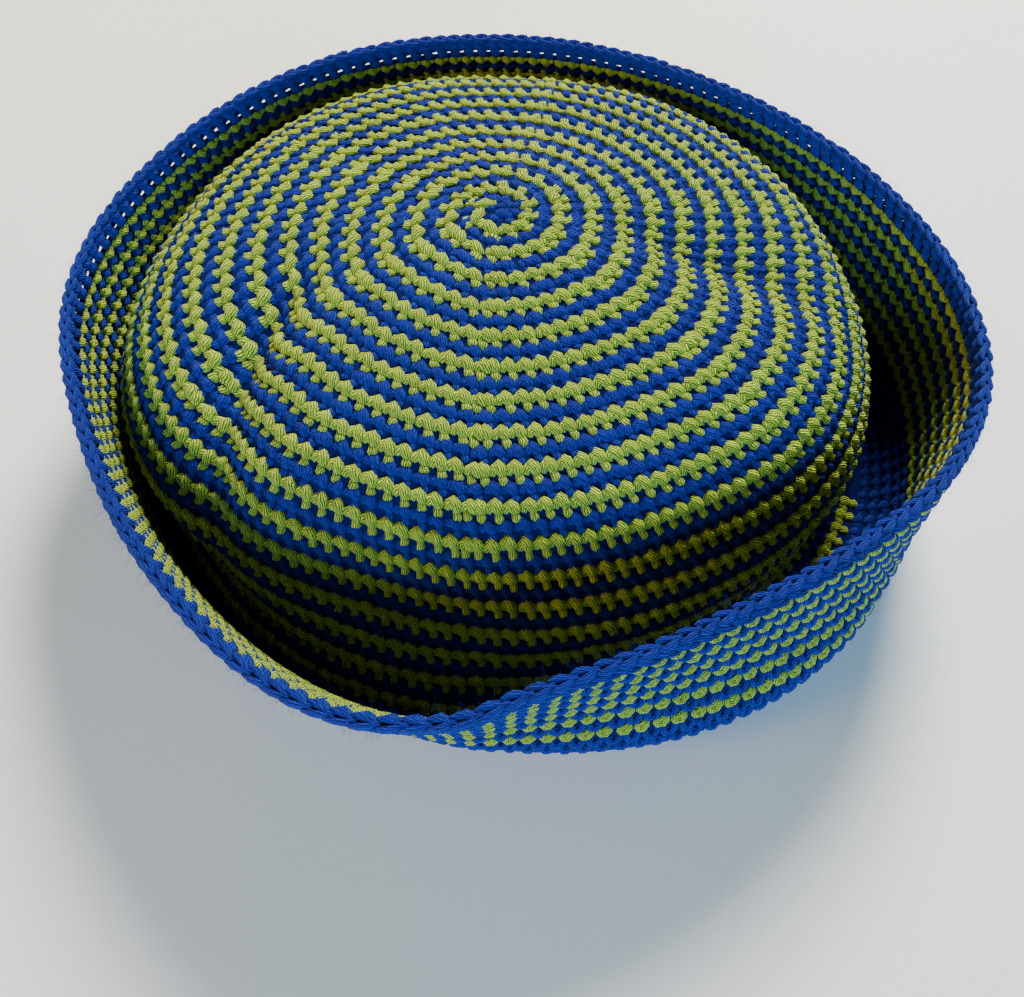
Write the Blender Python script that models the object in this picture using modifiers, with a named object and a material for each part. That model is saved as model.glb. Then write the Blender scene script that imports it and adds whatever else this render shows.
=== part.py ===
"""A crocheted sailor hat as it lies on a surface: a domed, dented crown inside a turned-up brim.

Metres, +Z up. The hat rests on z = 0 with its middle on the Z axis. Azimuth 0 is +X and 90 is +Y.
Every piece is a stretch of one fabric. The fabric's middle is a loft of unlike sections, one for each
azimuth, which run from the top of the crown down to the fold and up again to the rim.
"""
import bpy
import numpy as np

# Driving sizes
CROWN_HEIGHT = 0.068
CROWN_RADIUS = 0.092
TROUGH_WIDTH = 0.010
BRIM_FLARE = 0.010
BRIM_HEIGHT = 0.062
WALL = 0.0034
APEX_SHIFT_X = -0.0010
APEX_SHIFT_Y = 0.0096
FOLD_ROUNDING = 0.008
FOLD_BAND_LAP = 0.006
RIM_BAND = 0.009
CREASE_DEPTH = 0.009
DENT_DEPTH = 0.005
FLATTENED = 0.0005
SEAM_GAP = 0.0003

# Crown by azimuth. Heights are shares of the crown's height, reaches are shares of its radius, and
# the bulge is how far the side stands out past its own foot, as a share of the trough's width.
CROWN_SECTIONS = (
    ("azimuth", "slope_height", "shoulder_reach", "shoulder_height", "foot_reach", "bulge"),
    (0, 0.88, 0.86, 0.70, 0.97, 0.27),
    (30, 0.87, 0.88, 0.70, 0.97, 0.18),
    (60, 0.86, 0.90, 0.70, 0.97, 0.18),
    (90, 0.86, 0.90, 0.70, 0.97, 0.36),
    (120, 0.88, 0.95, 0.71, 1.00, 0.60),
    (150, 0.90, 0.97, 0.72, 1.02, 0.64),
    (180, 0.92, 0.93, 0.73, 1.03, 0.50),
    (205, 0.94, 0.88, 0.74, 1.03, 0.16),
    (222, 0.96, 0.86, 0.76, 1.02, -0.18),
    (245, 0.96, 0.77, 0.77, 1.00, -0.92),
    (270, 0.96, 0.75, 0.77, 0.96, -0.65),
    (300, 0.96, 0.76, 0.77, 0.95, -0.36),
    (332, 0.94, 0.83, 0.77, 0.96, 0.18),
)

# Brim by azimuth. The trough is a share of the trough's width, the rim's flare and the bow of the
# brim's middle away from a straight wall are shares of the flare, and the rest of the brim's height.
BRIM_SECTIONS = (
    ("azimuth", "trough", "flare", "bow", "rim_height"),
    (0, 1.24, 0.52, 0.25, 0.84),
    (20, 0.93, 0.25, 0.25, 0.82),
    (40, 0.73, -0.10, 0.25, 0.82),
    (60, 0.73, -0.31, 0.20, 0.82),
    (90, 0.83, -0.15, 0.20, 0.82),
    (126, 0.72, 0.27, 0.20, 0.82),
    (150, 0.70, 0.42, 0.10, 0.82),
    (177, 0.69, 0.67, 0.10, 0.82),
    (205, 0.50, 0.48, 0.10, 0.84),
    (228, 0.52, 0.88, 0.00, 0.87),
    (252, 0.65, 1.68, 0.00, 0.92),
    (264, 0.96, 1.30, -0.05, 0.95),
    (270, 1.08, 0.76, -0.10, 0.97),
    (279, 1.28, 0.16, -0.10, 0.98),
    (295, 1.63, -0.47, -0.10, 1.00),
    (313, 1.82, -0.50, -0.05, 0.98),
    (330, 1.65, 0.18, 0.05, 0.92),
    (345, 1.49, 0.54, 0.15, 0.87),
)

# Valleys pressed into the crown along a section: degrees, shares of the crown's radius, and a depth.
# Across its half width a valley falls away by its steepness, and its bottom is rounded by its softness.
VALLEYS = (
    {"azimuth": 203, "half_width": 9.0, "inner_reach": 0.45, "outer_reach": 1.05, "depth": CREASE_DEPTH},
    {"azimuth": 358, "half_width": 16.0, "inner_reach": 0.28, "outer_reach": 0.95, "depth": DENT_DEPTH},
)
VALLEY_STEEPNESS = 2.2
VALLEY_SOFTNESS = 0.15

# Where the stations between two others lie, as shares of the way
SLOPE_REACH = 0.50
FLANK_HEIGHT = 0.41
SOLE_REACH = 0.51
MID_BRIM_REACH = 0.45
MID_BRIM_HEIGHT = 0.55

# A section's stations, in the order that the fabric runs
APEX, SLOPE, SHOULDER, FLANK, FOOT, SOLE, FOLD, MID_BRIM, RIM = range(9)

COLUMNS = 72
AZIMUTHS = np.arange(COLUMNS) * 360 / COLUMNS
CROWN_RINGS = 17
HALF_FOLD_RINGS = 7
BRIM_RINGS = 7
EDGING_RINGS = 4
# A curve's speed through its stations goes with this power of the distance between them
CHORD_POWER = 0.75
# How far the normals look to either side, in degrees and in places
NORMAL_TURN = 0.5
NORMAL_STEP = 0.01

STRIPED = (0.26, 0.33, 0.07, 1)
BLUE = (0.008, 0.045, 0.36, 1)
COLORS = {"crown": STRIPED, "fold_band": BLUE, "brim": STRIPED, "rim_edging": BLUE}
YARN_ROUGHNESS = 0.85


def hermite(start, end, start_slope, end_slope, width, share):
    """The cubic between two values with given slopes, at a share of the way."""
    square, cube = share**2, share**3
    return (
        (2 * cube - 3 * square + 1) * start
        + (3 * square - 2 * cube) * end
        + (cube - 2 * square + share) * width * start_slope
        + (cube - square) * width * end_slope
    )


def read_round(rows, azimuths):
    """Each column of a table of sections at the azimuths, by a cubic that closes on itself."""
    table = np.array(rows[1:], float)
    known = np.concatenate([table[-2:, 0] - 360, table[:, 0], table[:3, 0] + 360])
    values = np.concatenate([table[-2:, 1:], table[:, 1:], table[:3, 1:]])
    slopes = (values[2:] - values[:-2]) / (known[2:] - known[:-2])[:, None]
    known, values = known[1:-1], values[1:-1]
    before = np.searchsorted(known, azimuths, side="right") - 1
    width = (known[before + 1] - known[before])[:, None]
    share = (azimuths - known[before])[:, None] / width
    read = hermite(values[before], values[before + 1], slopes[before], slopes[before + 1], width, share)
    return dict(zip(rows[0][1:], read.T))


def stations(azimuths):
    """Reach and height of each station by azimuth. The slope's mirror leads, so the apex is round."""
    crown = read_round(CROWN_SECTIONS, azimuths % 360)
    brim = read_round(BRIM_SECTIONS, azimuths % 360)
    level = np.ones_like(azimuths)
    shoulder = crown["shoulder_reach"] * CROWN_RADIUS
    slope_height = crown["slope_height"] * CROWN_HEIGHT
    foot = crown["foot_reach"] * CROWN_RADIUS
    flank = foot + crown["bulge"] * TROUGH_WIDTH
    fold = foot + WALL + brim["trough"] * TROUGH_WIDTH
    rim = fold + brim["flare"] * BRIM_FLARE
    rim_height = brim["rim_height"] * BRIM_HEIGHT
    mid_brim = fold + MID_BRIM_REACH * (rim - fold) + brim["bow"] * BRIM_FLARE
    points = (
        (-SLOPE_REACH * shoulder, slope_height),
        (0 * level, CROWN_HEIGHT * level),
        (SLOPE_REACH * shoulder, slope_height),
        (shoulder, crown["shoulder_height"] * CROWN_HEIGHT),
        (flank, FLANK_HEIGHT * CROWN_HEIGHT * level),
        (foot, FOLD_ROUNDING * level),
        (foot + SOLE_REACH * (fold - foot), (WALL / 2 - FLATTENED) * level),
        (fold, FOLD_ROUNDING * level),
        (mid_brim, MID_BRIM_HEIGHT * rim_height),
        (rim, rim_height),
    )
    return np.array(points).transpose(0, 2, 1)


def section_curves(azimuths, places):
    """Reach and height at the places of every section, where a whole number is a station."""
    points = stations(azimuths)
    steps = np.linalg.norm(np.diff(points, axis=0), axis=-1)[..., None] ** CHORD_POWER
    chords = np.diff(points, axis=0) / steps
    inner = (steps[1:] * chords[:-1] + steps[:-1] * chords[1:]) / (steps[1:] + steps[:-1])
    slopes = np.concatenate([chords[:1], inner, chords[-1:]])
    before = np.minimum(np.floor(places + 1).astype(int), len(points) - 2)
    share = (places + 1 - before)[:, None, None]
    after = before + 1
    return hermite(points[before], points[after], slopes[before], slopes[after], steps[before], share)


def smooth_fabric(azimuths, places):
    """The fabric without its valleys: places by azimuths. The crown leans over towards its apex."""
    curves = section_curves(azimuths, places)
    reach, height = curves[..., 0], curves[..., 1]
    share = np.clip(reach / CROWN_RADIUS, 0, 1)
    lean = 1 - share**2 * (3 - 2 * share)
    angle = np.radians(azimuths)
    x = reach * np.cos(angle) + APEX_SHIFT_X * lean
    y = reach * np.sin(angle) + APEX_SHIFT_Y * lean
    return np.stack([x, y, height], axis=-1)


def fabric_normals(azimuths, places):
    """Unit normals that point out of the crown, and from the brim towards the crown."""
    places = np.maximum(places, 2 * NORMAL_STEP)
    onwards = smooth_fabric(azimuths, places + NORMAL_STEP) - smooth_fabric(azimuths, places - NORMAL_STEP)
    around = smooth_fabric(azimuths + NORMAL_TURN, places) - smooth_fabric(azimuths - NORMAL_TURN, places)
    normal = np.cross(onwards, around)
    return normal / np.linalg.norm(normal, axis=-1, keepdims=True)


def fabric(azimuths, places):
    """The middle of the fabric with its valleys, as a grid of places by azimuths."""
    reach = section_curves(azimuths, places)[..., 0] / CROWN_RADIUS
    pressed = np.zeros_like(reach)
    for valley in VALLEYS:
        off = np.abs((azimuths - valley["azimuth"] + 180) % 360 - 180) / valley["half_width"]
        across = np.exp(VALLEY_STEEPNESS * (VALLEY_SOFTNESS - np.hypot(off, VALLEY_SOFTNESS)))
        middle = (valley["inner_reach"] + valley["outer_reach"]) / 2
        half_length = (valley["outer_reach"] - valley["inner_reach"]) / 2
        along = np.clip(1 - ((reach - middle) / half_length) ** 2, 0, 1)
        pressed += valley["depth"] * along * across
    pressed *= (places < FOOT)[:, None]
    return smooth_fabric(azimuths, places) - fabric_normals(azimuths, places) * pressed[..., None]


def places_between(start, end, count):
    """Places from a start to an end, each a station and a length past it, closest near both ends."""
    places = np.linspace(APEX, RIM, 100 * RIM + 1)
    steps = np.linalg.norm(np.diff(section_curves(AZIMUTHS, places), axis=0), axis=-1).mean(axis=1)
    run = np.concatenate([[0], np.cumsum(steps)])
    first, last = (np.interp(station, places, run) + past for station, past in (start, end))
    share = (1 - np.cos(np.linspace(0, np.pi, count))) / 2
    return np.interp(first + (last - first) * share, run, places)


def fill_collection(name, members):
    collection = bpy.data.collections.new(name)
    bpy.context.scene.collection.children.link(collection)
    for member in members:
        collection.objects.link(member)


def yarn(name, color):
    material = bpy.data.materials.new(name)
    material.use_nodes = True
    shader = material.node_tree.nodes["Principled BSDF"]
    shader.inputs["Base Color"].default_value = color
    shader.inputs["Roughness"].default_value = YARN_ROUGHNESS
    return material


def add_stretch(name, places, color):
    """A stretch of the fabric with its thickness. One that starts at the apex has no hole there."""
    grid = fabric(AZIMUTHS, places)
    count = len(AZIMUTHS)
    turn = [(step, (step + 1) % count) for step in range(count)]
    points, faces, first = grid.reshape(-1, 3), [], 0
    if places[0] == APEX:
        points, first = points[count - 1 :], 1
        faces = [(0, 1 + near, 1 + far) for near, far in turn]
        grid = grid[1:]
    for ring in range(len(grid) - 1):
        start = first + ring * count
        end = start + count
        faces += [(start + near, end + near, end + far, start + far) for near, far in turn]
    mesh = bpy.data.meshes.new(name)
    mesh.from_pydata(points.tolist(), [], faces)
    mesh.materials.append(yarn(name, color))
    mesh.shade_smooth()
    obj = bpy.data.objects.new(name, mesh)
    thickness = obj.modifiers.new("thickness", "SOLIDIFY")
    thickness.thickness = WALL
    thickness.offset = 0
    thickness.use_even_offset = True
    return obj


def surface_cutter():
    """All that lies below the surface that the hat rests on."""
    size = 4 * (CROWN_RADIUS + TROUGH_WIDTH + BRIM_FLARE)
    bpy.ops.mesh.primitive_cube_add(size=size, location=(0, 0, -size / 2))
    cutter = bpy.context.object
    cutter.name = "below_surface"
    cutter.hide_render = True
    cutter.display_type = "WIRE"
    for home in cutter.users_collection:
        home.objects.unlink(cutter)
    return cutter


def flatten(piece, cutter):
    cut = piece.modifiers.new("flattened", "BOOLEAN")
    cut.operation = "DIFFERENCE"
    cut.object = cutter


def box_middle(pieces):
    """The middle of the pieces' common box, with their modifiers."""
    bpy.context.view_layer.update()
    graph = bpy.context.evaluated_depsgraph_get()
    corners = np.array([corner for piece in pieces for corner in piece.evaluated_get(graph).bound_box])
    return (corners.min(axis=0) + corners.max(axis=0)) / 2


def main():
    for obj in list(bpy.data.objects):
        bpy.data.objects.remove(obj)
    half_gap = SEAM_GAP / 2
    into_fold = places_between((FOOT, -FOLD_BAND_LAP + half_gap), (SOLE, 0), HALF_FOLD_RINGS)
    out_of_fold = places_between((SOLE, 0), (FOLD, FOLD_BAND_LAP - half_gap), HALF_FOLD_RINGS)
    crown = places_between((APEX, 0), (FOOT, -FOLD_BAND_LAP - half_gap), CROWN_RINGS)
    brim = places_between((FOLD, FOLD_BAND_LAP + half_gap), (RIM, -RIM_BAND - half_gap), BRIM_RINGS)
    edging = places_between((RIM, -RIM_BAND + half_gap), (RIM, 0), EDGING_RINGS)
    stretches = {
        "crown": crown,
        "fold_band": np.concatenate([into_fold, out_of_fold[1:]]),
        "brim": brim,
        "rim_edging": edging,
    }
    pieces = {name: add_stretch(name, places, COLORS[name]) for name, places in stretches.items()}
    cutter = surface_cutter()
    flatten(pieces["fold_band"], cutter)
    hat_frame = bpy.data.objects.new("hat_frame", None)
    hat_members = [hat_frame, *pieces.values()]
    fill_collection("sailor_hat", hat_members)
    fill_collection("cutters", [cutter])
    for member in [*pieces.values(), cutter]:
        member.parent = hat_frame
    middle = box_middle(pieces.values())
    hat_frame.location = (-middle[0], -middle[1], 0)


main()
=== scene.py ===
"""Looks of a crocheted sailor hat: strands of yarn, laid stitch by stitch on the fabric of the solids."""

import math

import bpy
import numpy as np
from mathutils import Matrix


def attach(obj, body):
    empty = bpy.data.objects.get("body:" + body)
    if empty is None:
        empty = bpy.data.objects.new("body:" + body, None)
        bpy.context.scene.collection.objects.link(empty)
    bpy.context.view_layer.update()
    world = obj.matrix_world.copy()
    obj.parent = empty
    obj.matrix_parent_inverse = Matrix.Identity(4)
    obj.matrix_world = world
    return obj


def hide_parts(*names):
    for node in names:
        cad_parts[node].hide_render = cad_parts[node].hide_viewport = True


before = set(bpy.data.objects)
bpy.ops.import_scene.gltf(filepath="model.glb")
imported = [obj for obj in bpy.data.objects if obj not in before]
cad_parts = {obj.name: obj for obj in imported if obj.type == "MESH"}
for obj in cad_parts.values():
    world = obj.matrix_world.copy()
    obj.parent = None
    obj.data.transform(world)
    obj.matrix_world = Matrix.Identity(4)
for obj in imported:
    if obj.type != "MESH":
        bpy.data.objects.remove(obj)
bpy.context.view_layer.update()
rng = np.random.default_rng(11)
MM = 0.001

# The fabric, with the solids' own sizes in metres. The crown's left side stands a little further out
# than the solid's, and its crease runs slantwise, as in the photograph.
CROWN_HEIGHT = 0.068
CROWN_RADIUS = 0.092
TROUGH_WIDTH = 0.010
BRIM_FLARE = 0.010
BRIM_HEIGHT = 0.062
WALL = 0.0034
APEX_SHIFT_X = -0.0010
APEX_SHIFT_Y = 0.0096
FOLD_ROUNDING = 0.008
CREASE_DEPTH = 0.0085
DENT_DEPTH = 0.0045
FLATTENED = 0.0005
CROWN_SECTIONS = (
    ("azimuth", "slope_height", "shoulder_reach", "shoulder_height", "foot_reach", "bulge"),
    (0, 0.88, 0.86, 0.70, 0.97, 0.27),
    (30, 0.87, 0.88, 0.70, 0.97, 0.18),
    (60, 0.86, 0.90, 0.70, 0.97, 0.18),
    (90, 0.86, 0.90, 0.70, 0.97, 0.36),
    (120, 0.88, 0.95, 0.71, 1.00, 0.60),
    (150, 0.90, 0.97, 0.72, 1.02, 0.78),
    (180, 0.92, 0.95, 0.73, 1.03, 0.84),
    (205, 0.94, 0.90, 0.74, 1.03, 0.48),
    (222, 0.96, 0.86, 0.76, 1.02, -0.05),
    (245, 0.96, 0.77, 0.77, 1.00, -0.92),
    (270, 0.96, 0.75, 0.77, 0.96, -0.65),
    (300, 0.96, 0.76, 0.77, 0.95, -0.36),
    (332, 0.94, 0.83, 0.77, 0.96, 0.18),
)
BRIM_SECTIONS = (
    ("azimuth", "trough", "flare", "bow", "rim_height"),
    (0, 1.24, 0.52, 0.25, 0.84),
    (20, 0.93, 0.25, 0.25, 0.82),
    (40, 0.73, -0.10, 0.25, 0.82),
    (60, 0.73, -0.31, 0.20, 0.82),
    (90, 0.83, -0.15, 0.20, 0.82),
    (126, 0.72, 0.27, 0.20, 0.82),
    (150, 0.70, 0.42, 0.10, 0.82),
    (177, 0.69, 0.67, 0.10, 0.82),
    (205, 0.50, 0.48, 0.10, 0.84),
    (228, 0.52, 0.88, 0.00, 0.87),
    (252, 0.65, 1.68, 0.00, 0.92),
    (264, 0.96, 1.30, -0.05, 0.95),
    (270, 1.08, 0.76, -0.10, 0.97),
    (279, 1.28, 0.16, -0.10, 0.98),
    (295, 1.63, -0.47, -0.10, 1.00),
    (313, 1.82, -0.50, -0.05, 0.98),
    (330, 1.65, 0.18, 0.05, 0.92),
    (345, 1.49, 0.54, 0.15, 0.87),
)
# Valleys pressed into the crown: degrees, how many of them the valley drifts round for each crown's radius
# outwards, shares of that radius, and a depth
VALLEYS = (
    {
        "azimuth": 206, "drift": 55, "half_width": 12.0,
        "inner_reach": 0.44, "outer_reach": 1.16, "depth": CREASE_DEPTH,
    },
    {
        "azimuth": 358, "drift": 0, "half_width": 18.0,
        "inner_reach": 0.20, "outer_reach": 1.05, "depth": DENT_DEPTH,
    },
)
VALLEY_STEEPNESS = 2.2
VALLEY_SOFTNESS = 0.28
SLOPE_REACH = 0.50
FLANK_HEIGHT = 0.41
SOLE_REACH = 0.51
MID_BRIM_REACH = 0.45
MID_BRIM_HEIGHT = 0.55
# A section's stations, in the order that the fabric runs
APEX, SLOPE, SHOULDER, FLANK, FOOT, SOLE, FOLD, MID_BRIM, RIM = range(9)
CHORD_POWER = 0.75
NORMAL_TURN = 0.5
NORMAL_STEP = 0.01

# The crown: rounds to the foot and to its last stitches, those that grow, and its six increases' azimuths
CROWN_ROUNDS = 31.85
CROWN_END = 33.8
FIRST_INCREASE, INCREASE_ROUNDS = 3, 23
CORNERS = (22, 82, 142, 202, 262, 322)
HALF_SIDE = 30
# Degrees that the stitches lie further round near the centre, and that blue's increases lie past green's
CORNER_DRIFT, DRIFT_ROUNDS = 12, 6
BLUE_CORNERS_ON = 28
# How wide an increase is, in stitches
DOUBLE_WIDTH = 1.45
# The two yarns run as two spirals from the front, each two rounds a turn
SPIRAL_START = 270
ROUNDS_A_TURN = 2
SPIRAL_TURNS = range(-3, 18)
START_SHARPNESS = 4
# Where each yarn's spiral passes the front for the first time, and the round that its stitches begin at
GREEN_OFFSET, GREEN_START = 1.41, 0.30
BLUE_OFFSET, BLUE_START = 0.41, 1.35
# How much larger each yarn's stitches are, and how many millimetres higher they lie
GREEN_SIZE, BLUE_SIZE = (1.05, 0.12), (0.98, -0.14)
# The first ring: six wide stitches
START_STITCHES, START_AZIMUTH, START_ROUND, START_WIDTH = 6, 20, 0.50, 70
ZONES = (
    ("crown_top_rounds", 0.0, 19.0),
    ("crown_shoulder_rounds", 19.0, 27.0),
    ("crown_side_rounds", 27.0, 34.5),
)

# The fold and the brim, in rounds counted from the sole
FOLD_ROUNDS = 3
FOLD_BLUE_ROUNDS = 5
INNER_SPLIT = 9
BRIM_STRIPES = 11
RIM_START = FOLD_BLUE_ROUNDS + BRIM_STRIPES
BRIM_ROUNDS = 18
BRIM_STITCHES = 156
WIDTH = 360 / BRIM_STITCHES
# How far each round's stitches lie to the side of the last round's, as a share of a stitch
FRONT_SHIFT, BACK_SHIFT = 0.04, 0.5
OVERHANG = 4 * MM

# The lining under the stitches: half its thickness, degrees from one column to the next, and each stretch's
# first round, last round and number of rings. Small holes show between the brim's lining and the rim's. Where
# the lining shows between stitches, its near-black colour is painted shade.
CORE_HALF = 0.5 * MM
CORE_TURN = 3.0
CROWN_CORE = (0.02, 34, 44)
FOLD_CORE = (-1.5, FOLD_ROUNDS, 12)
BRIM_CORE = (FOLD_ROUNDS, RIM_START + 0.12, 18)
RIM_CORE = (17.2, 17.5, 2)
SEAM = 90

# Stitches differ a little from one to the next, as shares of a stitch, and start anywhere on the yarn
JITTER_WIDTH, JITTER_HEIGHT, JITTER_PLACE = 0.04, 0.05, 0.03
YARN_SHIFT = 7
TINT_SPREAD = 0.06

# Loose fibres: thickness, foot off the fabric's middle, lengths in millimetres, how they lean and bend, and
# how much lighter they are painted as a painted sheen
HAIR_RADIUS = 0.022 * MM
HAIR_FOOT = 1.2 * MM
HAIR_SHORTEST, HAIR_LONGEST = 0.8, 2.2
HAIR_LEAN, HAIR_BEND, HAIR_TAPER = 0.8, 0.6, 0.8
HAIR_PAINTED_SHEEN = 0.3

# Yarn: how the plies twist and wobble, what plies, flecks and broad patches add to the colour's lightness,
# and how deep the grooves between the plies are. The plies' share is painted shade in the grooves and a
# painted highlight on each ply's top; flecks and broad patches are the yarn's own uneven tone.
PLY_TWIST, PLY_WOBBLE, PLY_ROUNDNESS = 0.45, 1.6, 0.8
PLY_PAINTED_SHADE, BASE_LIGHT, FLECK_LIGHT, BROAD_LIGHT = 1.35, -0.38, 0.3, 0.2
FLECK_SCALE, BROAD_SCALE = 900, 45
FLECK_RELIEF, GROOVE_DEPTH = 0.25, 0.35 * MM

# Places of the materials in each mesh
GREEN, BLUE, GAP_SHADE, BACK = range(4)

# Camera, as the photograph was taken: millimetres and degrees
CAMERA_PLACE = (-1.17, -170.9, 242.5)
CAMERA_PITCH = 58.9
CAMERA_LENS = 36.04
CAMERA_SENSOR = 36.0
# The floor's side in metres
FLOOR_SIZE = 4


def hermite(start, end, start_slope, end_slope, width, share):
    """The cubic between two values with given slopes, at a share of the way."""
    square, cube = share**2, share**3
    return (
        (2 * cube - 3 * square + 1) * start
        + (3 * square - 2 * cube) * end
        + (cube - 2 * square + share) * width * start_slope
        + (cube - square) * width * end_slope
    )


def read_round(rows, azimuths):
    """Each column of a table of sections at the azimuths, by a cubic that closes on itself."""
    table = np.array(rows[1:], float)
    known = np.concatenate([table[-2:, 0] - 360, table[:, 0], table[:3, 0] + 360])
    values = np.concatenate([table[-2:, 1:], table[:, 1:], table[:3, 1:]])
    slopes = (values[2:] - values[:-2]) / (known[2:] - known[:-2])[:, None]
    known, values = known[1:-1], values[1:-1]
    before = np.searchsorted(known, azimuths, side="right") - 1
    width = (known[before + 1] - known[before])[:, None]
    share = (azimuths - known[before])[:, None] / width
    read = hermite(values[before], values[before + 1], slopes[before], slopes[before + 1], width, share)
    return dict(zip(rows[0][1:], read.T))


def stations(azimuths):
    """Reach and height of each station by azimuth. The slope's mirror leads, so the apex is round."""
    crown = read_round(CROWN_SECTIONS, azimuths % 360)
    brim = read_round(BRIM_SECTIONS, azimuths % 360)
    level = np.ones_like(azimuths)
    shoulder = crown["shoulder_reach"] * CROWN_RADIUS
    slope_height = crown["slope_height"] * CROWN_HEIGHT
    foot = crown["foot_reach"] * CROWN_RADIUS
    flank = foot + crown["bulge"] * TROUGH_WIDTH
    fold = foot + WALL + brim["trough"] * TROUGH_WIDTH
    rim = fold + brim["flare"] * BRIM_FLARE
    rim_height = brim["rim_height"] * BRIM_HEIGHT
    mid_brim = fold + MID_BRIM_REACH * (rim - fold) + brim["bow"] * BRIM_FLARE
    points = (
        (-SLOPE_REACH * shoulder, slope_height),
        (0 * level, CROWN_HEIGHT * level),
        (SLOPE_REACH * shoulder, slope_height),
        (shoulder, crown["shoulder_height"] * CROWN_HEIGHT),
        (flank, FLANK_HEIGHT * CROWN_HEIGHT * level),
        (foot, FOLD_ROUNDING * level),
        (foot + SOLE_REACH * (fold - foot), (WALL / 2 - FLATTENED) * level),
        (fold, FOLD_ROUNDING * level),
        (mid_brim, MID_BRIM_HEIGHT * rim_height),
        (rim, rim_height),
    )
    return np.array(points).transpose(0, 2, 1)


def section_curves(azimuths, places):
    """Reach and height at the places of every section, where a whole number is a station."""
    points = stations(azimuths)
    steps = np.linalg.norm(np.diff(points, axis=0), axis=-1)[..., None] ** CHORD_POWER
    chords = np.diff(points, axis=0) / steps
    inner = (steps[1:] * chords[:-1] + steps[:-1] * chords[1:]) / (steps[1:] + steps[:-1])
    slopes = np.concatenate([chords[:1], inner, chords[-1:]])
    before = np.minimum(np.floor(places + 1).astype(int), len(points) - 2)
    share = (places + 1 - before)[:, None, None]
    after = before + 1
    return hermite(points[before], points[after], slopes[before], slopes[after], steps[before], share)


def smooth_fabric(azimuths, places):
    """The fabric without its valleys: places by azimuths. The crown leans over towards its apex."""
    curves = section_curves(azimuths, places)
    reach, height = curves[..., 0], curves[..., 1]
    share = np.clip(reach / CROWN_RADIUS, 0, 1)
    lean = 1 - share**2 * (3 - 2 * share)
    angle = np.radians(azimuths)
    x = reach * np.cos(angle) + APEX_SHIFT_X * lean
    y = reach * np.sin(angle) + APEX_SHIFT_Y * lean
    return np.stack([x, y, height], axis=-1)


def fabric_normals(azimuths, places):
    """Unit normals that point out of the crown, and from the brim towards the crown."""
    places = np.maximum(places, 2 * NORMAL_STEP)
    onwards = smooth_fabric(azimuths, places + NORMAL_STEP) - smooth_fabric(azimuths, places - NORMAL_STEP)
    around = smooth_fabric(azimuths + NORMAL_TURN, places) - smooth_fabric(azimuths - NORMAL_TURN, places)
    normal = np.cross(onwards, around)
    return normal / np.linalg.norm(normal, axis=-1, keepdims=True)


def fabric(azimuths, places):
    """The middle of the fabric with its valleys, as a grid of places by azimuths."""
    reach = section_curves(azimuths, places)[..., 0] / CROWN_RADIUS
    pressed = np.zeros_like(reach)
    for valley in VALLEYS:
        middle = (valley["inner_reach"] + valley["outer_reach"]) / 2
        axis = valley["azimuth"] + valley["drift"] * (reach - middle)
        off = np.abs((azimuths - axis + 180) % 360 - 180) / valley["half_width"]
        across = np.exp(VALLEY_STEEPNESS * (VALLEY_SOFTNESS - np.hypot(off, VALLEY_SOFTNESS)))
        half_length = (valley["outer_reach"] - valley["inner_reach"]) / 2
        along = np.clip(1 - ((reach - middle) / half_length) ** 2, 0, 1) ** 2
        pressed += valley["depth"] * along * across
    pressed *= np.clip(FOOT - places, 0, 1)[:, None]
    return smooth_fabric(azimuths, places) - fabric_normals(azimuths, places) * pressed[..., None]


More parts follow.
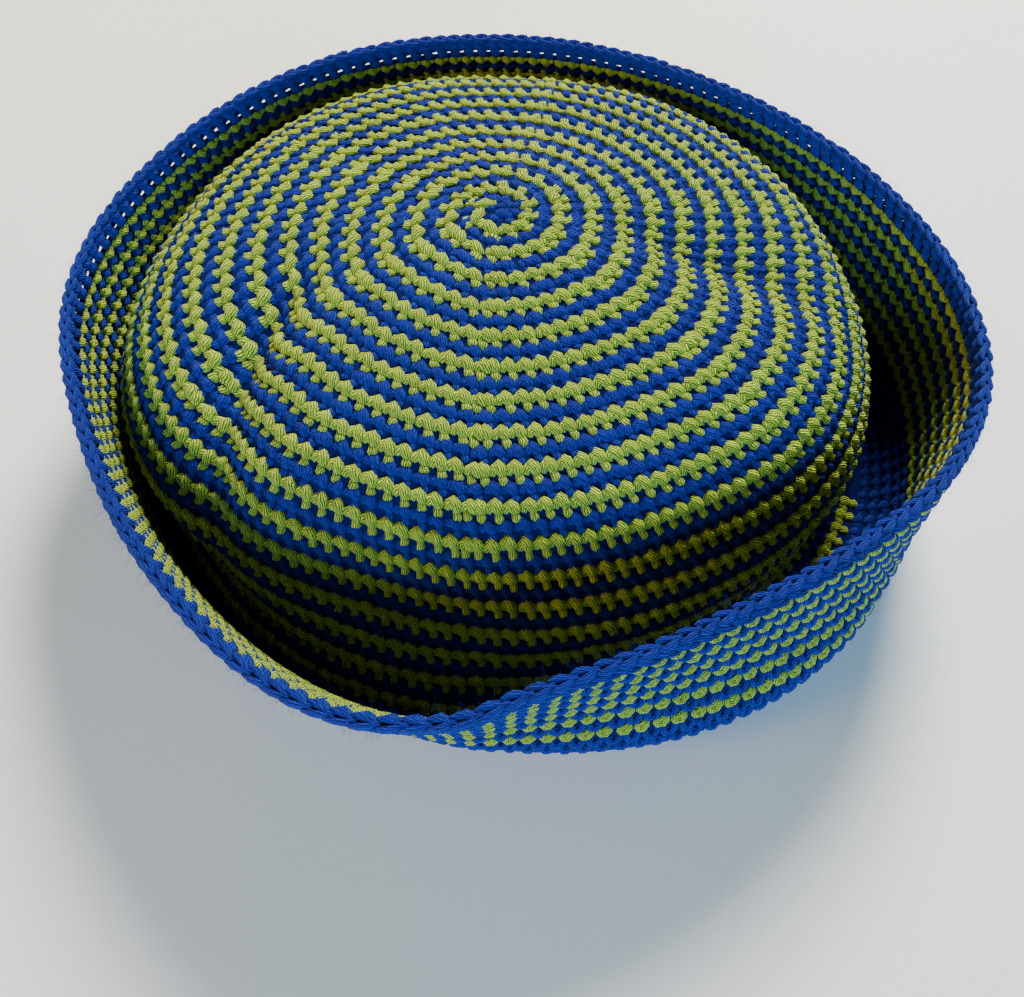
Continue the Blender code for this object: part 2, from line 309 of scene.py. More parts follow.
class Sheet:
    """The fabric's middle as a table by azimuth and by length from the apex, which any point is read from."""

    ROWS = 1100
    TURN = 1.0
    STEPS = 100

    def __init__(self):
        self.azimuths = np.arange(0, 360 + self.TURN, self.TURN)
        places = np.linspace(APEX, RIM, self.STEPS * RIM + 1)
        points = fabric(self.azimuths, places)
        half_wall = WALL / 2 * fabric_normals(self.azimuths, places)
        skins = np.concatenate([(points - half_wall).reshape(-1, 3), (points + half_wall).reshape(-1, 3)])
        points[..., :2] -= (skins.min(axis=0) + skins.max(axis=0))[:2] / 2
        last = points[-1] - points[-2]
        last /= np.linalg.norm(last, axis=-1, keepdims=True)
        points = np.concatenate([points, (points[-1] + last * OVERHANG)[None]])
        steps = np.linalg.norm(np.diff(points, axis=0), axis=-1)
        run = np.concatenate([np.zeros((1, len(self.azimuths))), np.cumsum(steps, axis=0)])
        self.length = run[-1]
        self.foot, self.sole, self.rim = (run[self.STEPS * station] for station in (FOOT, SOLE, RIM))
        share = np.linspace(0, 1, self.ROWS)
        table = [
            [np.interp(share * self.length[i], run[:, i], points[:, i, axis]) for axis in range(3)]
            for i in range(len(self.azimuths))
        ]
        self.points = np.array(table).transpose(2, 0, 1)
        onwards = np.gradient(self.points, axis=0)
        wrapped = np.concatenate([self.points[:, -2:-1], self.points, self.points[:, 1:2]], axis=1)
        normals = np.cross(onwards, wrapped[:, 2:] - wrapped[:, :-2])
        size = np.linalg.norm(normals, axis=-1, keepdims=True)
        self.normals = normals / np.maximum(size, 1e-12)
        # All sections meet at the apex, so the first rows' normals are set
        self.normals[:3] = (0, 0, 1)

    def value(self, name, azimuth):
        """A length from the apex at any azimuth: the foot's, the sole's, the rim's or the whole one."""
        return np.interp(azimuth % 360, self.azimuths, getattr(self, name))

    def lay(self, azimuth, length, height):
        """World points at an azimuth and a length from the apex, raised off the fabric's middle."""
        azimuth = azimuth % 360
        column = azimuth / self.TURN
        near = np.minimum(np.floor(column).astype(int), len(self.azimuths) - 2)
        across = (column - near)[..., None]
        row = np.clip(length / self.value("length", azimuth), 0, 1) * (self.ROWS - 1)
        low = np.minimum(np.floor(row).astype(int), self.ROWS - 2)
        along = (row - low)[..., None]
        found = []
        for table in (self.points, self.normals):
            first = table[low, near] * (1 - across) + table[low, near + 1] * across
            second = table[low + 1, near] * (1 - across) + table[low + 1, near + 1] * across
            found.append(first * (1 - along) + second * along)
        points, normals = found
        normals = normals / np.linalg.norm(normals, axis=-1, keepdims=True)
        return points + normals * height[..., None]


sheet = Sheet()


# Where the rounds run

# The rounds' centre lies off the apex, and the first ring has a centre and a pitch of its own
CENTRE_X, CENTRE_Y, CENTRE_FADE = -3.9 * MM, -2.3 * MM, 60 * MM
START_X, START_Y, START_PITCH = -1.7 * MM, -1.1 * MM, 4 * MM
FIRST_RADIUS = 1.25
# The rounds stand further out at the six corners, lie closer near the centre and spread at the back. On
# the brim they sit nearer to the rim at the front.
CORNER_SHARE, CORNER_MEAN = 0.13, 1.05
CORNERS_FROM, CORNERS_UNTIL, CORNERS_FADE = 3, 28, 10
INNER_SHARE = 0.076
BACK_SHARE, BACK_ROUND, BACK_SPREAD = 0.09, 11.5, 4.5
FRONT, FRONT_SPREAD, FRONT_SHARE = 288, 34, 0.09


def crown_length(azimuth, rounds):
    """Length from the centre at which a count of rounds ends, a little further out at the corners."""
    base = sheet.value("foot", azimuth) / CROWN_ROUNDS * (1 - INNER_SHARE * (1 - rounds / CROWN_ROUNDS))
    off = np.abs((azimuth[..., None] - CORNERS + 180) % 360 - 180).min(axis=-1)
    hexagon = 1 / np.cos(np.radians(HALF_SIDE - np.minimum(off, HALF_SIDE))) - CORNER_MEAN
    fade = np.clip((CORNERS_UNTIL - rounds) / CORNERS_FADE, 0, 1) * np.clip(rounds / CORNERS_FROM, 0, 1)
    behind = np.exp(-(((rounds - BACK_ROUND) / BACK_SPREAD) ** 2))
    behind = np.clip(np.sin(np.radians(azimuth)), 0, 1) * behind
    return base * rounds * (1 + CORNER_SHARE * hexagon * fade + BACK_SHARE * behind)


def lay_crown(azimuth, rounds, height):
    """Rounds are counted from their own centre, which lies off the apex."""
    length = crown_length(azimuth, rounds)
    turn = np.radians(azimuth)
    fade = np.exp(-((length / CENTRE_FADE) ** 2))
    x = length * np.cos(turn) + CENTRE_X * fade
    y = length * np.sin(turn) + CENTRE_Y * fade
    return sheet.lay(np.degrees(np.arctan2(y, x)), np.hypot(x, y), height)


def lay_start(azimuth, rounds, height):
    """The first ring, round a centre of its own."""
    turn = np.radians(azimuth)
    x = START_PITCH * rounds * np.cos(turn) + START_X
    y = START_PITCH * rounds * np.sin(turn) + START_Y
    return sheet.lay(np.degrees(np.arctan2(y, x)), np.hypot(x, y), height)


def lay_brim(azimuth, rounds, height):
    """Rounds are counted from the sole. At the front they sit a little nearer to the rim."""
    sole, rim = sheet.value("sole", azimuth), sheet.value("rim", azimuth)
    share = rounds / BRIM_ROUNDS
    front = np.exp(-((((azimuth - FRONT + 180) % 360 - 180) / FRONT_SPREAD) ** 2))
    share = share + FRONT_SHARE * front * 4 * np.clip(share, 0, 1) * np.clip(1 - share, 0, 1)
    return sheet.lay(azimuth, sole + (rim - sole) * share, height)


# Stitch templates: x in stitch widths to the right, y in rounds outwards, z in metres off the middle

STITCH_WIDTH = 3.9
ROUND_HEIGHT = 3.8
FLATNESS = 0.80
TIP = 0.7
PLIES = 10.5
# Degrees round a strand at which its edges lie, closer together on top, by the number of sides
SIDE_ANGLES = {4: (-5, 90, 185, 270), 5: (-12, 50, 130, 192, 270), 6: (-12, 35, 90, 145, 192, 270)}


def strand(points, sides, count):
    """A tapered tube through points given as x, y, z and radius in millimetres, closed at both ends."""
    points = np.array(points, float)
    known = np.arange(len(points))
    wanted = np.linspace(0, len(points) - 1, count)
    slopes = np.gradient(points, axis=0)
    low = np.minimum(np.floor(wanted).astype(int), len(points) - 2)
    share = (wanted - low)[:, None]
    path = hermite(points[low], points[low + 1], slopes[low], slopes[low + 1], 1, share)
    middle, radius = path[:, :3], path[:, 3]
    along = np.gradient(middle, axis=0)
    along /= np.linalg.norm(along, axis=1, keepdims=True)
    up = np.tile([0.0, 0.0, 1.0], (count, 1))
    side = np.cross(up, along)
    side /= np.linalg.norm(side, axis=1, keepdims=True)
    up = np.cross(along, side)
    angle = np.radians(SIDE_ANGLES[sides])
    shares = np.array([*SIDE_ANGLES[sides], 360 + SIDE_ANGLES[sides][0]]) / 360
    shares = shares * round(PLIES * points[:, 3].max())
    rings = (
        middle[:, None]
        + side[:, None] * (radius[:, None] * np.cos(angle))[..., None]
        + up[:, None] * (radius[:, None] * np.sin(angle) * FLATNESS)[..., None]
    )
    tips = np.array([middle[0] - along[0] * radius[0] * TIP, middle[-1] + along[-1] * radius[-1] * TIP])
    verts = np.concatenate([rings.reshape(-1, 3), tips])
    run = np.concatenate([[0], np.cumsum(np.linalg.norm(np.diff(middle, axis=0), axis=1))])
    faces, coords = [], []
    for ring in range(count - 1):
        for near in range(sides):
            far = (near + 1) % sides
            a, b = ring * sides + near, ring * sides + far
            faces.append((a, a + sides, b + sides, b))
            u0, u1 = shares[near], shares[near + 1]
            coords += [(u0, run[ring]), (u0, run[ring + 1]), (u1, run[ring + 1]), (u1, run[ring])]
    end = (count - 1) * sides
    for near in range(sides):
        far = (near + 1) % sides
        u0, u1 = shares[near], shares[near + 1]
        faces.append((near, far, count * sides))
        coords += [(u0, run[0]), (u1, run[0]), (u0, run[0])]
        faces.append((end + near, count * sides + 1, end + far))
        coords += [(u0, run[-1]), (u0, run[-1]), (u1, run[-1])]
    return verts, faces, coords


def template(*strands):
    """One stitch of several strands, ready to be laid many times."""
    verts, faces, coords, start = [], [], [], 0
    for one in strands:
        verts.append(one[0])
        faces += [tuple(start + v for v in face) for face in one[1]]
        coords += one[2]
        start += len(one[0])
    verts = np.concatenate(verts) / (STITCH_WIDTH, ROUND_HEIGHT, 1 / MM)
    return {
        "verts": verts,
        "sizes": np.array([len(face) for face in faces]),
        "loops": np.concatenate([np.array(face) for face in faces]),
        "coords": np.array(coords, float),
    }


LEFT_LEG = (
    (-1.32, 1.35, -0.55, 0.50),
    (-1.28, 0.62, 0.15, 0.95),
    (-1.02, -0.25, 0.46, 1.18),
    (-0.35, -1.25, 0.10, 0.70),
)
RIGHT_LEG = (
    (-1.00, -1.05, -0.15, 0.60),
    (-0.25, -0.92, 0.50, 1.22),
    (0.55, -0.25, 0.76, 1.42),
    (1.22, 0.55, 0.32, 1.14),
    (1.72, 1.30, -0.70, 0.46),
)
TOOTH = (
    (0.78, 1.10, 0.05, 1.00),
    (1.08, 1.80, 0.62, 1.28),
    (1.35, 2.62, 0.44, 0.92),
    (1.54, 3.45, -0.30, 0.34),
)
POST = (
    (-0.62, -2.00, -0.20, 1.20),
    (-0.42, -0.95, 0.55, 1.46),
    (-0.05, 0.25, 0.85, 1.42),
    (0.30, 1.35, 0.62, 1.24),
    (0.55, 2.30, -0.20, 0.60),
)
NUGGET = (
    (-0.98, 1.35, -0.20, 0.50),
    (-1.02, 0.30, -0.65, 0.84),
    (-0.58, -0.66, -0.85, 0.92),
    (0.50, -0.70, -0.85, 0.92),
    (1.04, 0.20, -0.68, 0.86),
    (1.30, 1.55, -0.30, 0.48),
)
KNOT = (
    (-0.35, 0.55, -0.40, 0.60),
    (0.10, 1.15, -0.75, 0.72),
    (0.70, 1.95, -0.20, 0.40),
)
LAID = (
    (-2.60, 0.95, -0.75, 0.50),
    (-1.35, 0.62, -0.95, 0.98),
    (0.00, 0.10, -1.00, 1.12),
    (1.35, -0.50, -0.95, 0.98),
    (2.60, -0.95, -0.60, 0.45),
)
CHAIN = (
    (-2.70, 0.35, 0.95, 0.45),
    (-1.50, 0.10, 1.00, 0.95),
    (0.00, 0.05, 0.55, 1.00),
    (1.40, 0.10, -0.10, 0.80),
    (2.30, 0.20, -0.50, 0.40),
)


def moved(points, along):
    """A strand's points, shifted along the round."""
    return [(x + along, y, z, radius) for x, y, z, radius in points]


def grown(shape, factor, lift):
    """A template a little larger or smaller, and raised off the fabric."""
    return {**shape, "verts": shape["verts"] * factor + (0, 0, lift * MM)}


stitch = template(strand(LEFT_LEG, 5, 4), strand(RIGHT_LEG, 6, 5), strand(TOOTH, 5, 3))
double_stitch = template(
    strand(moved(LEFT_LEG, -0.95), 5, 4),
    strand(moved(RIGHT_LEG, -0.80), 6, 5),
    strand(moved(RIGHT_LEG, 0.85), 6, 5),
    strand(moved(TOOTH, -2.30), 5, 3),
    strand(moved(TOOTH, 0.55), 5, 3),
)
# Stitches seen from the right side of the fabric
plain_arch = template(strand(LEFT_LEG, 4, 3), strand(RIGHT_LEG, 5, 4))
toothed_arch = template(strand(LEFT_LEG, 4, 3), strand(RIGHT_LEG, 5, 4), strand(TOOTH, 4, 3))
brim_stitch = grown(toothed_arch, 1.04, 0.12)
low_stitch = grown(brim_stitch, 0.94, -0.24)
rim_stitch = grown(template(strand(LEFT_LEG, 5, 4), strand(RIGHT_LEG, 6, 5)), 1.16, -0.10)
last_stitch = grown(plain_arch, 1.04, 0.12)
post = template(strand(POST, 6, 6))
# Stitches seen from the wrong side, and the chain along the rim
nugget = grown(template(strand(NUGGET, 5, 6), strand(KNOT, 4, 3)), 1.0, -0.06)
plain_nugget = template(strand(NUGGET, 5, 6))
blue_nugget = grown(plain_nugget, 1.07, -0.11)
laid = template(strand(LAID, 6, 5))
chain = template(
    strand(CHAIN, 6, 5),
    strand([(x, y, -z, r) for x, y, z, r in CHAIN], 6, 5),
)


class Piece:
    """A joined mesh of stitches, with the yarn's own coordinates, a tint for each stitch (on loose fibres a
    painted sheen) and its colours.
    """

    def __init__(self, name):
        self.name = name
        self.verts, self.sizes, self.loops, self.coords, self.tints, self.colors = [], [], [], [], [], []
        self.count = 0

    def add(self, shape, lay, azimuth, rounds, width, climb, color):
        """Lays the template once for each azimuth. The climb is how many rounds a turn rises."""
        many, base = len(azimuth), shape["verts"]
        azimuth, rounds, width = (np.asarray(v, float) * np.ones(many) for v in (azimuth, rounds, width))
        jitter = rng.normal(0, 1, (many, 4))
        x = base[:, 0] * (1 + JITTER_WIDTH * jitter[:, :1]) + JITTER_PLACE * jitter[:, 1:2]
        y = base[:, 1] * (1 + JITTER_HEIGHT * jitter[:, 2:3]) + JITTER_PLACE * jitter[:, 3:]
        turned = azimuth[:, None] + x * width[:, None]
        out = rounds[:, None] + y + climb * x * width[:, None] / 360
        points = lay(turned, out, np.broadcast_to(base[:, 2], turned.shape))
        self.verts.append(points.reshape(-1, 3))
        self.sizes.append(np.tile(shape["sizes"], many))
        first = self.count + np.arange(many) * len(base)
        self.loops.append((first[:, None] + shape["loops"][None]).ravel())
        shift = rng.uniform(0, 1, (many, 1, 2)) * (0, YARN_SHIFT)
        self.coords.append((shape["coords"][None] + shift).reshape(-1, 2))
        self.tints.append(np.repeat(rng.normal(0, TINT_SPREAD, many), len(base)))
        self.colors.append(np.full(many * len(shape["sizes"]), color))
        self.count += many * len(base)

    def add_core(self, lay, azimuths, rounds, climb, colors):
        """The fabric under the stitches, as a closed wall whose two sides have colours of their own; a
        near-black side is painted shade for the gaps between stitches.
        """
        grid_a, grid_r = np.meshgrid(azimuths, rounds, indexing="ij")
        sides = [lay(grid_a, grid_r, np.full(grid_a.shape, side * CORE_HALF)) for side in (1, -1)]
        points = np.concatenate([side.reshape(-1, 3) for side in sides])
        rows, cols = grid_a.shape
        index = np.arange(rows * cols).reshape(rows, cols)
        onward = np.roll(index, -1, 0)
        a, b, c, d = index[:, :-1], onward[:, :-1], onward[:, 1:], index[:, 1:]
        top = np.stack([a, d, c, b], -1).reshape(-1, 4)
        under = (np.stack([a, b, c, d], -1) + rows * cols).reshape(-1, 4)
        walls = []
        for line in (0, -1):
            near, far = index[:, line], onward[:, line]
            wall = np.stack([near, far, far + rows * cols, near + rows * cols], -1)
            walls.append(wall if line == 0 else wall[:, ::-1])
        faces = np.concatenate([top, under, *walls])
        turns = ((grid_a - SEAM) % 360) / 360
        turns_at = np.concatenate([turns.reshape(-1)] * 2)[faces]
        turns_at = np.where(turns_at < turns_at.max(axis=1, keepdims=True) - 0.5, turns_at + 1, turns_at)
        count_at = np.concatenate([grid_r.reshape(-1)] * 2)[faces] - climb * turns_at
        self.verts.append(points)
        self.sizes.append(np.full(len(faces), 4))
        self.loops.append((faces + self.count).ravel())
        self.coords.append(np.stack([count_at.ravel(), turns_at.ravel()], -1))
        self.tints.append(np.zeros(len(points)))
        self.colors.append(np.repeat(colors, [len(top), len(under) + 2 * rows]))
        self.count += len(points)

    def add_hairs(self, lay, azimuth, rounds, side, color):
        """Loose fibres that stand off the yarn: thin closed spikes, each bent once, painted lighter as a
        painted sheen.
        """
        many = len(azimuth)
        foot = lay(azimuth, rounds, side * HAIR_FOOT * np.ones(many))
        out = lay(azimuth, rounds, side * (HAIR_FOOT + MM) * np.ones(many)) - foot
        out /= np.linalg.norm(out, axis=1, keepdims=True)
        lean = out + rng.normal(0, HAIR_LEAN, (many, 3))
        lean /= np.linalg.norm(lean, axis=1, keepdims=True)
        bent = lean + rng.normal(0, HAIR_BEND, (many, 3))
        reach = rng.uniform(HAIR_SHORTEST, HAIR_LONGEST, (many, 1)) * MM
        middle = foot + lean * reach
        tip = middle + bent * reach * HAIR_TAPER
        across = np.cross(lean, rng.normal(0, 1, (many, 3)))
        across /= np.linalg.norm(across, axis=1, keepdims=True)
        other = np.cross(lean, across)
        ring = [across * math.cos(a) + other * math.sin(a) for a in (0, 2 * math.pi / 3, 4 * math.pi / 3)]
        verts = [foot + HAIR_RADIUS * r for r in ring]
        verts += [middle + HAIR_TAPER * HAIR_RADIUS * r for r in ring] + [tip]
        faces = [(2, 1, 0), (0, 1, 4, 3), (1, 2, 5, 4), (2, 0, 3, 5), (3, 4, 6), (4, 5, 6), (5, 3, 6)]
        flat = np.concatenate([np.array(face) for face in faces])
        self.verts.append(np.stack(verts, axis=1).reshape(-1, 3))
        self.sizes.append(np.tile([len(face) for face in faces], many))
        self.loops.append((self.count + len(verts) * np.arange(many)[:, None] + flat[None]).ravel())
        self.coords.append(np.zeros((many * len(flat), 2)))
        # Painted sheen: the fibres are painted lighter than the yarn
        self.tints.append(np.full(many * len(verts), HAIR_PAINTED_SHEEN))
        self.colors.append(np.full(many * len(faces), color))
        self.count += many * len(verts)

    def build(self, materials):
        """The mesh with its materials, the place on the yarn of each corner and a tint for each point, which
        on loose fibres is painted sheen.
        """
        mesh = bpy.data.meshes.new(self.name)
        verts, sizes = np.concatenate(self.verts), np.concatenate(self.sizes)
        loops, coords = np.concatenate(self.loops), np.concatenate(self.coords)
        mesh.vertices.add(len(verts))
        mesh.vertices.foreach_set("co", verts.astype(np.float32).ravel())
        mesh.loops.add(len(loops))
        mesh.loops.foreach_set("vertex_index", loops.astype(np.int32))
        mesh.polygons.add(len(sizes))
        starts = np.concatenate([[0], np.cumsum(sizes)[:-1]])
        mesh.polygons.foreach_set("loop_start", starts.astype(np.int32))
        mesh.polygons.foreach_set("material_index", np.concatenate(self.colors).astype(np.int32))
        mesh.update(calc_edges=True)
        layer = mesh.uv_layers.new(name="yarn")
        layer.data.foreach_set("uv", coords.astype(np.float32).ravel())
        tint = mesh.attributes.new("tint", "FLOAT", "POINT")
        tint.data.foreach_set("value", np.concatenate(self.tints).astype(np.float32))
        mesh.shade_smooth()
        for material in materials:
            mesh.materials.append(material)
        if mesh.validate():
            raise ValueError(self.name + " held a broken face")
        obj = bpy.data.objects.new(self.name, mesh)
        bpy.context.scene.collection.objects.link(obj)
        return obj


def spiral_stitches(offset, shift, start, end):
    """Azimuth, rounds, width and whether it is a double, for each stitch of one colour's spiral."""
    found = []
    corners = [corner + shift for corner in (*CORNERS, CORNERS[0] + 360)]
    for turn in SPIRAL_TURNS:
        for corner in range(len(CORNERS)):
            a, b = corners[corner] + 360 * turn, corners[corner + 1] + 360 * turn
            rounds = offset + ROUNDS_A_TURN * ((a + b) / 2 - SPIRAL_START) / 360
            if rounds < start - 1 or rounds > end + 1:
                continue
            count = max(1, int(round(min(rounds, INCREASE_ROUNDS))))
            if FIRST_INCREASE <= rounds < INCREASE_ROUNDS:
                last = rounds + ROUNDS_A_TURN / len(CORNERS) >= INCREASE_ROUNDS
                unit = (b - a) / (count - 2 + DOUBLE_WIDTH + last * (1 - DOUBLE_WIDTH / 2))
                centres = [(a, unit, True)]
                centres += [
                    (a + (DOUBLE_WIDTH / 2 + 0.5 + i) * unit, unit, False) for i in range(count - 2 + last)
                ]
            else:
                unit = (b - a) / count
                centres = [(a + (i + 0.5) * unit, unit, False) for i in range(count)]
            for azimuth, width, double in centres:
                azimuth += CORNER_DRIFT * math.exp(-rounds / DRIFT_ROUNDS)
                at = offset + ROUNDS_A_TURN * (azimuth - SPIRAL_START) / 360
                if start <= at < end:
                    at = np.logaddexp(START_SHARPNESS * at, START_SHARPNESS * FIRST_RADIUS) / START_SHARPNESS
                    found.append((azimuth, at, width, double))
    return np.array(found)


def yarn_material(name, color, shade_and_dark_tone, sheen):
    """Plied cotton yarn: twisted plies with painted shade in their grooves and painted highlight on top,
    small flecks, a tint for each stitch and a soft sheen.
    """
    material = bpy.data.materials.new(name)
    material.use_nodes = True
    nodes, links = material.node_tree.nodes, material.node_tree.links
    shader = nodes["Principled BSDF"]
    shader.inputs["Roughness"].default_value = 0.82
    shader.inputs["Specular IOR Level"].default_value = 0.25
    shader.inputs["Sheen Weight"].default_value = 0.22
    shader.inputs["Sheen Roughness"].default_value = 0.4
    shader.inputs["Sheen Tint"].default_value = sheen

    def math_node(operation, first, second=None, third=None):
        node = nodes.new("ShaderNodeMath")
        node.operation = operation
        for socket, value in zip(node.inputs, (first, second, third)):
            if value is None:
                continue
            if isinstance(value, (int, float)):
                socket.default_value = value
            else:
                links.new(value, socket)
        return node.outputs[0]

    coords = nodes.new("ShaderNodeUVMap")
    coords.uv_map = "yarn"
    split = nodes.new("ShaderNodeSeparateXYZ")
    links.new(coords.outputs[0], split.inputs[0])
    place = nodes.new("ShaderNodeTexCoord")
    noise = nodes.new("ShaderNodeTexNoise")
    noise.inputs["Scale"].default_value = FLECK_SCALE
    noise.inputs["Detail"].default_value = 3
    links.new(place.outputs["Object"], noise.inputs["Vector"])
    twisted = math_node("MULTIPLY_ADD", split.outputs[1], PLY_TWIST, split.outputs[0])
    twisted = math_node("MULTIPLY_ADD", noise.outputs[0], PLY_WOBBLE, twisted)
    wave = math_node("SINE", math_node("MULTIPLY", twisted, 2 * math.pi))
    ply = math_node("POWER", math_node("MULTIPLY_ADD", wave, 0.5, 0.5), PLY_ROUNDNESS)
    broad = nodes.new("ShaderNodeTexNoise")
    broad.inputs["Scale"].default_value = BROAD_SCALE
    links.new(place.outputs["Object"], broad.inputs["Vector"])
    tint = nodes.new("ShaderNodeAttribute")
    tint.attribute_name = "tint"
    # Painted shade in the grooves between plies and painted highlight on the plies' tops, then the stitch's
    # own tint and the yarn's flecks and broad patches
    light = math_node("MULTIPLY_ADD", ply, PLY_PAINTED_SHADE, BASE_LIGHT)
    light = math_node("ADD", light, tint.outputs["Fac"])
    light = math_node("MULTIPLY_ADD", noise.outputs[0], FLECK_LIGHT, light)
    light = math_node("MULTIPLY_ADD", broad.outputs[0], BROAD_LIGHT, light)
    mix = nodes.new("ShaderNodeMix")
    mix.data_type = "RGBA"
    mix.inputs["A"].default_value = shade_and_dark_tone
    mix.inputs["B"].default_value = color
    links.new(light, mix.inputs["Factor"])
    links.new(mix.outputs["Result"], shader.inputs["Base Color"])
    bump = nodes.new("ShaderNodeBump")
    bump.inputs["Strength"].default_value = 1.0
    bump.inputs["Distance"].default_value = GROOVE_DEPTH
    height = math_node("MULTIPLY_ADD", noise.outputs[0], FLECK_RELIEF, ply)
    links.new(height, bump.inputs["Height"])
    links.new(bump.outputs[0], shader.inputs["Normal"])
    return material


def plain_material(name, color):
    """The lining, dull and of one colour: near-black painted shade where it shows between stitches, or the
    crown's blue inner side.
    """
    material = bpy.data.materials.new(name)
    material.use_nodes = True
    shader = material.node_tree.nodes["Principled BSDF"]
    shader.inputs["Base Color"].default_value = color
    shader.inputs["Roughness"].default_value = 0.95
    shader.inputs["Specular IOR Level"].default_value = 0.1
    return material


# In the order of GREEN, BLUE, GAP_SHADE and BACK
MATERIALS = (
    # Each yarn: its colour, a dark colour for the painted shade in its ply grooves and for its darker flecks,
    # and a sheen tint
    yarn_material("green_yarn", (0.58, 0.78, 0.050, 1), (0.07, 0.12, 0.003, 1), (0.9, 0.95, 0.5, 1)),
    yarn_material("royal_blue_yarn", (0.002, 0.019, 0.47, 1), (0.001, 0.003, 0.05, 1), (0.1, 0.35, 1.0, 1)),
    # Painted shade: a near-black blue for the lining, so that the gaps between stitches look shaded
    plain_material("painted_gap_shade", (0.0015, 0.006, 0.08, 1)),
    plain_material("striped_back", (0.01, 0.05, 0.3, 1)),
)

# The crown's stitches

green_run = spiral_stitches(GREEN_OFFSET, 0, GREEN_START, CROWN_END)
blue_run = spiral_stitches(BLUE_OFFSET, BLUE_CORNERS_ON, BLUE_START, CROWN_END)
pieces = []
for name, start, end in ZONES:
    piece = Piece(name)
    for run, color in ((green_run, GREEN), (blue_run, BLUE)):
        rows = run[(run[:, 1] >= start) & (run[:, 1] < end)]
        for double in (False, True):
            some = rows[rows[:, 3] == double]
            shape = double_stitch if double else stitch
            shape = grown(shape, *(GREEN_SIZE if color == GREEN else BLUE_SIZE))
            if len(some):
                piece.add(shape, lay_crown, some[:, 0], some[:, 1], some[:, 2], ROUNDS_A_TURN, color)
    if start == 0:
        ring = START_AZIMUTH + 360 / START_STITCHES * np.arange(START_STITCHES)
        piece.add(stitch, lay_start, ring, START_ROUND, START_WIDTH, 0, BLUE)
    pieces.append((piece, "crown", "striped_yarn"))

core = Piece("crown_fabric")
core_azimuths = np.arange(0, 360, CORE_TURN)
# The crown's lining: painted shade on the side that shows between stitches, its blue back inside
core.add_core(lay_crown, core_azimuths, np.linspace(*CROWN_CORE), ROUNDS_A_TURN, (GAP_SHADE, BACK))
pieces.append((core, "crown", "striped_yarn"))

# The brim's, the fold's and the rim's stitches

stitch_azimuths = np.arange(BRIM_STITCHES) * 360 / BRIM_STITCHES


def round_color(index):
    """Blue at the fold and at the rim, and stripes of one round each between them."""
    if index < FOLD_BLUE_ROUNDS or index >= RIM_START:
        return BLUE
    return GREEN if (index - FOLD_BLUE_ROUNDS) % 2 == 0 else BLUE


def brim_rounds(piece, indices, shape, shift, blue_shape=None):
    """Lays whole rounds of the brim, the blue ones of another shape where one is given."""
    for index in indices:
        color = round_color(index)
        used = blue_shape if blue_shape and color == BLUE else shape
        piece.add(used, lay_brim, stitch_azimuths + shift * index * WIDTH, index + 0.5, WIDTH, 0, color)


inner_low, inner_high = Piece("brim_inner_low_rounds"), Piece("brim_inner_high_rounds")
brim_rounds(inner_low, range(FOLD_ROUNDS, INNER_SPLIT), brim_stitch, FRONT_SHIFT, low_stitch)
brim_rounds(inner_high, range(INNER_SPLIT, RIM_START - 1), brim_stitch, FRONT_SHIFT, low_stitch)
brim_rounds(inner_high, (RIM_START - 1,), last_stitch, FRONT_SHIFT)
outer = Piece("brim_outer_rounds")
brim_rounds(outer, range(FOLD_ROUNDS, RIM_START), nugget, BACK_SHIFT, blue_nugget)
fold = Piece("fold_rounds")
brim_rounds(fold, range(FOLD_ROUNDS), plain_arch, FRONT_SHIFT)
brim_rounds(fold, range(-1, FOLD_ROUNDS), plain_nugget, BACK_SHIFT)
rim = Piece("rim_rounds")
brim_rounds(rim, (RIM_START,), post, FRONT_SHIFT)
brim_rounds(rim, (RIM_START + 1,), rim_stitch, FRONT_SHIFT)
brim_rounds(rim, range(RIM_START, BRIM_ROUNDS), laid, BACK_SHIFT)
rim.add(chain, lay_brim, stitch_azimuths, BRIM_ROUNDS, WIDTH, 0, BLUE)

# Loose fibres: how many, the rounds they stand on, and 1 for the right side or -1 for the wrong one
rim_fuzz, brim_fuzz = Piece("rim_fuzz"), Piece("brim_fuzz")
for piece, many, first, last, side in (
    (rim_fuzz, 2200, 16.5, 18.4, -1),
    (rim_fuzz, 1000, 17.5, 18.4, 1),
    (brim_fuzz, 500, FOLD_ROUNDS, RIM_START, -1),
):
    piece.add_hairs(lay_brim, rng.uniform(0, 360, many), rng.uniform(first, last, many), side, BLUE)

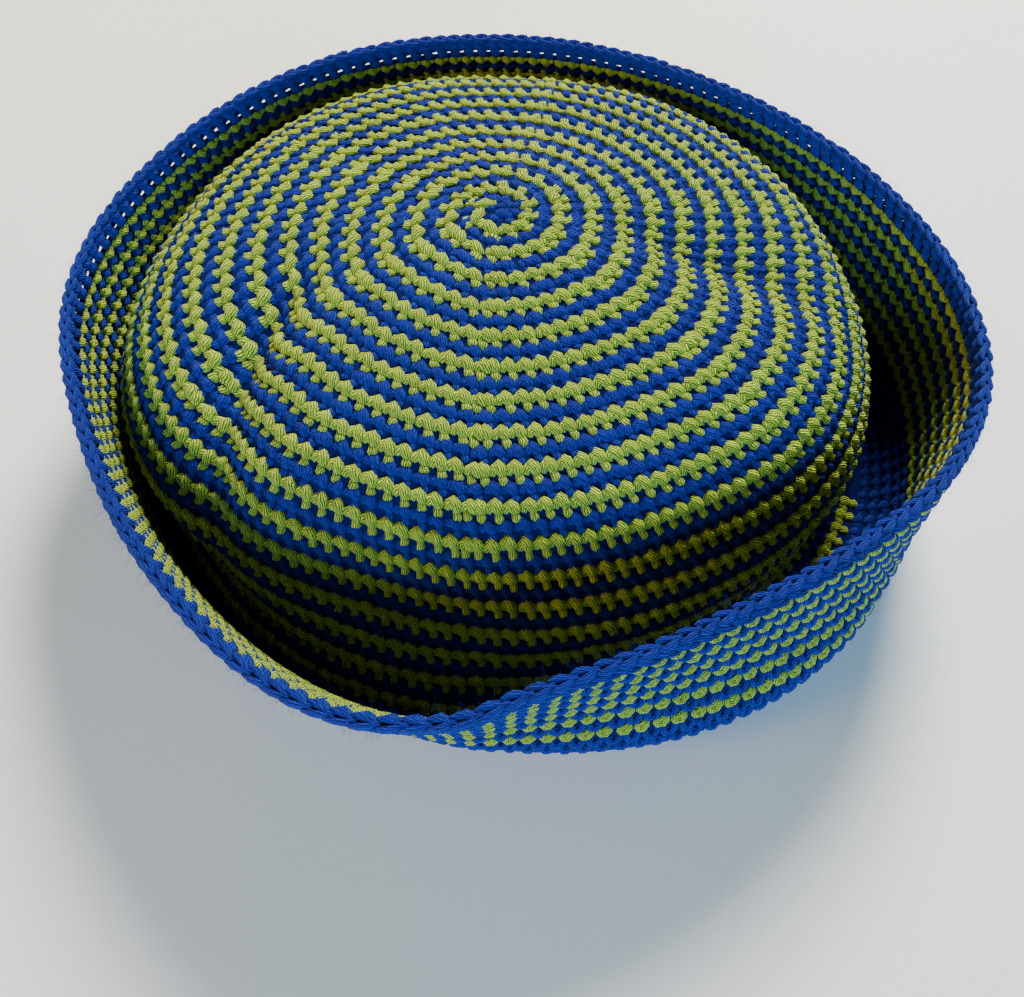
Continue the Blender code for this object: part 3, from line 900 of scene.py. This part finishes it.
brim_core, fold_core, rim_core = Piece("brim_fabric"), Piece("fold_fabric"), Piece("rim_fabric")
# The brim's, fold's and rim's linings are near-black painted shade on both sides
brim_core.add_core(lay_brim, core_azimuths, np.linspace(*BRIM_CORE), 0, (GAP_SHADE, GAP_SHADE))
fold_core.add_core(lay_brim, core_azimuths, np.linspace(*FOLD_CORE), 0, (GAP_SHADE, GAP_SHADE))
rim_core.add_core(lay_brim, core_azimuths, np.linspace(*RIM_CORE), 0, (GAP_SHADE, GAP_SHADE))
pieces += [
    (rim_fuzz, "rim_edging", "blue_yarn"),
    (brim_fuzz, "brim", "striped_yarn"),
    (inner_low, "brim", "striped_yarn"),
    (inner_high, "brim", "striped_yarn"),
    (outer, "brim", "striped_yarn"),
    (brim_core, "brim", "striped_yarn"),
    (fold, "fold_band", "blue_yarn"),
    (fold_core, "fold_band", "blue_yarn"),
    (rim, "rim_edging", "blue_yarn"),
    (rim_core, "rim_edging", "blue_yarn"),
]

for piece, node, slot in pieces:
    obj = piece.build(MATERIALS)
    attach(obj, "root")
    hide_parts(node)

# Floor, lights and camera

bpy.ops.mesh.primitive_plane_add(size=FLOOR_SIZE, location=(0, 0, 0))
floor = bpy.context.object
floor.name = "floor"
paint = bpy.data.materials.new("pale_floor")
paint.use_nodes = True
shader = paint.node_tree.nodes["Principled BSDF"]
shader.inputs["Base Color"].default_value = (0.90, 0.89, 0.87, 1)
shader.inputs["Roughness"].default_value = 0.6
floor.data.materials.append(paint)


def area_light(name, place, size, power, color):
    """A round light at a place in metres, which faces the hat."""
    data = bpy.data.lights.new(name, "AREA")
    data.shape = "DISK"
    data.size = size
    data.energy = power
    data.color = color
    light = bpy.data.objects.new(name, data)
    bpy.context.scene.collection.objects.link(light)
    light.location = place
    direction = -np.array(place, float)
    light.rotation_euler = (
        math.acos(-direction[2] / np.linalg.norm(direction)),
        0,
        math.atan2(direction[1], direction[0]) - math.pi / 2,
    )


area_light("window", (0.30, 0.93, 0.95), 0.5, 45, (1.0, 0.96, 0.86))
area_light("cool_side", (0.05, -1.12, 0.42), 0.6, 18, (0.34, 0.68, 1.0))
area_light("warm_side", (-0.95, -0.35, 0.40), 0.4, 7, (1.0, 0.62, 0.22))
world = bpy.data.worlds.new("soft_room")
world.use_nodes = True
background = world.node_tree.nodes["Background"]
background.inputs["Color"].default_value = (0.95, 0.97, 1.0, 1)
background.inputs["Strength"].default_value = 0.08
bpy.context.scene.world = world

camera_data = bpy.data.cameras.new("camera")
camera_data.lens = CAMERA_LENS
camera_data.sensor_width = CAMERA_SENSOR
camera_data.sensor_fit = "HORIZONTAL"
camera_data.clip_start = 0.01
camera = bpy.data.objects.new("camera", camera_data)
bpy.context.scene.collection.objects.link(camera)
camera.location = [v * MM for v in CAMERA_PLACE]
camera.rotation_euler = (math.radians(90 - CAMERA_PITCH), 0, 0)
bpy.context.scene.camera = camera
